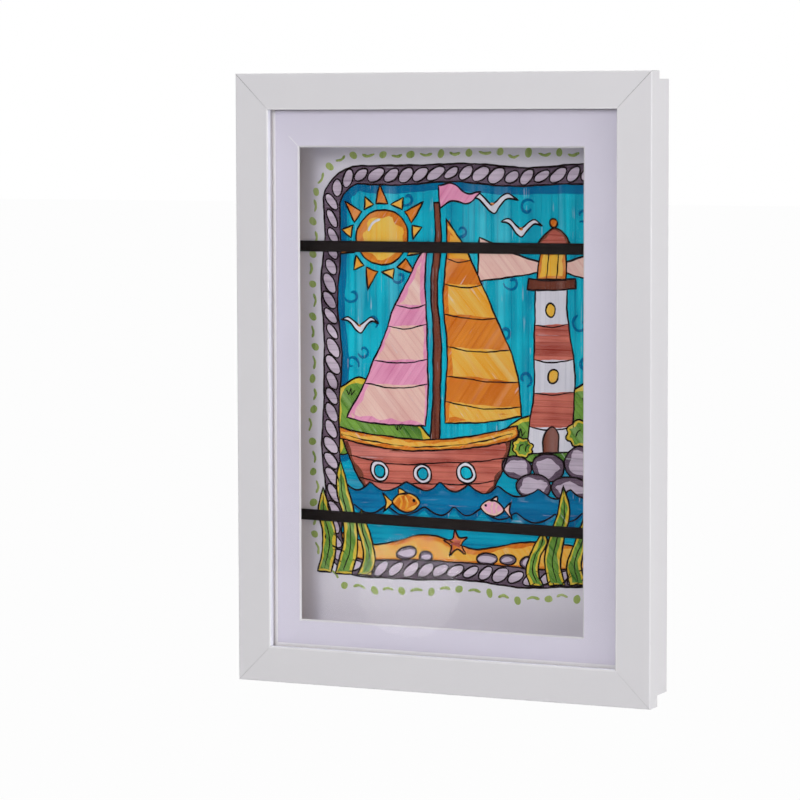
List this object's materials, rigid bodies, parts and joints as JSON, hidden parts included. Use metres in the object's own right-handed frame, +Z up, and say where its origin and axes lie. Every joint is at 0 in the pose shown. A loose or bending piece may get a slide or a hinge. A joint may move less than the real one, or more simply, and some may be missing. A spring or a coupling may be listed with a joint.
{
  "type": "front-opening childrens art frame",
  "caption": "Upright wall frame with a hinged mitred door, clear pane and bevel-cut mat over a shallow box whose elastic bands hold A4 drawings.",
  "frame": {"origin": "middle of the wall plane, which is where the back edges of the box rest on the wall", "axes": "+Z up along the long side, +Y into the wall, -Y out of the front towards the viewer, +X to the right as seen from the front"},
  "size_m": [0.24, 0.0356, 0.33],
  "materials": {
    "moulding": "smooth white foil over fibreboard, satin",
    "pane": "clear polished acrylic",
    "mat": "matt pale card with a white bevel-cut core",
    "paper": "drawing paper with marker-pen colours",
    "panel": "thin hardboard, white on the inside",
    "elastic": "woven black elastic",
    "steel": "bright zinc plated",
    "magnet": "nickel plated"
  },
  "bodies": {
    "box": {"box_wall_top": "moulding", "box_wall_bottom": "moulding", "box_wall_left": "moulding", "box_wall_right": "moulding", "back_panel": "panel", "panel_brad_top": "steel", "panel_brad_bottom": "steel", "panel_brad_left_high": "steel", "panel_brad_left_low": "steel", "panel_brad_right_high": "steel", "panel_brad_right_low": "steel", "magnet_upper": "magnet", "magnet_lower": "magnet", "art_sheet": "paper", "elastic_band_upper": "elastic", "elastic_band_lower": "elastic", "band_staple_upper_left": "steel", "band_staple_upper_right": "steel", "band_staple_lower_left": "steel", "band_staple_lower_right": "steel", "hanger_upright": "steel", "hanger_upright_nail_left": "steel", "hanger_upright_nail_right": "steel", "hanger_lying": "steel", "hanger_lying_nail_left": "steel", "hanger_lying_nail_right": "steel", "hinge_upper_box_leaf": "steel", "hinge_upper_box_screw_high": "steel", "hinge_upper_box_screw_low": "steel", "hinge_upper_pin": "steel", "hinge_lower_box_leaf": "steel", "hinge_lower_box_screw_high": "steel", "hinge_lower_box_screw_low": "steel", "hinge_lower_pin": "steel"},
    "door": {"door_rail_top": "moulding", "door_rail_bottom": "moulding", "door_stile_left": "moulding", "door_stile_right": "moulding", "clear_pane": "pane", "window_mat": "mat", "glazing_point_top": "steel", "glazing_point_bottom": "steel", "glazing_point_left_low": "steel", "glazing_point_left_high": "steel", "glazing_point_right_low": "steel", "glazing_point_right_high": "steel", "corner_nail_top_left": "steel", "corner_nail_top_right": "steel", "corner_nail_bottom_left": "steel", "corner_nail_bottom_right": "steel", "strike_plate_upper": "steel", "strike_plate_lower": "steel", "strike_screw_upper": "steel", "strike_screw_lower": "steel", "hinge_upper_door_leaf": "steel", "hinge_upper_door_screw_high": "steel", "hinge_upper_door_screw_low": "steel", "hinge_lower_door_leaf": "steel", "hinge_lower_door_screw_high": "steel", "hinge_lower_door_screw_low": "steel"}
  },
  "joints": [
    {"name": "door_hinge", "type": "hinge", "parent": "box", "child": "door", "pos_m": [-0.11778, -0.02282, 0], "axis": [0, 0, -1], "range_deg": [0, 140]}
  ]
}
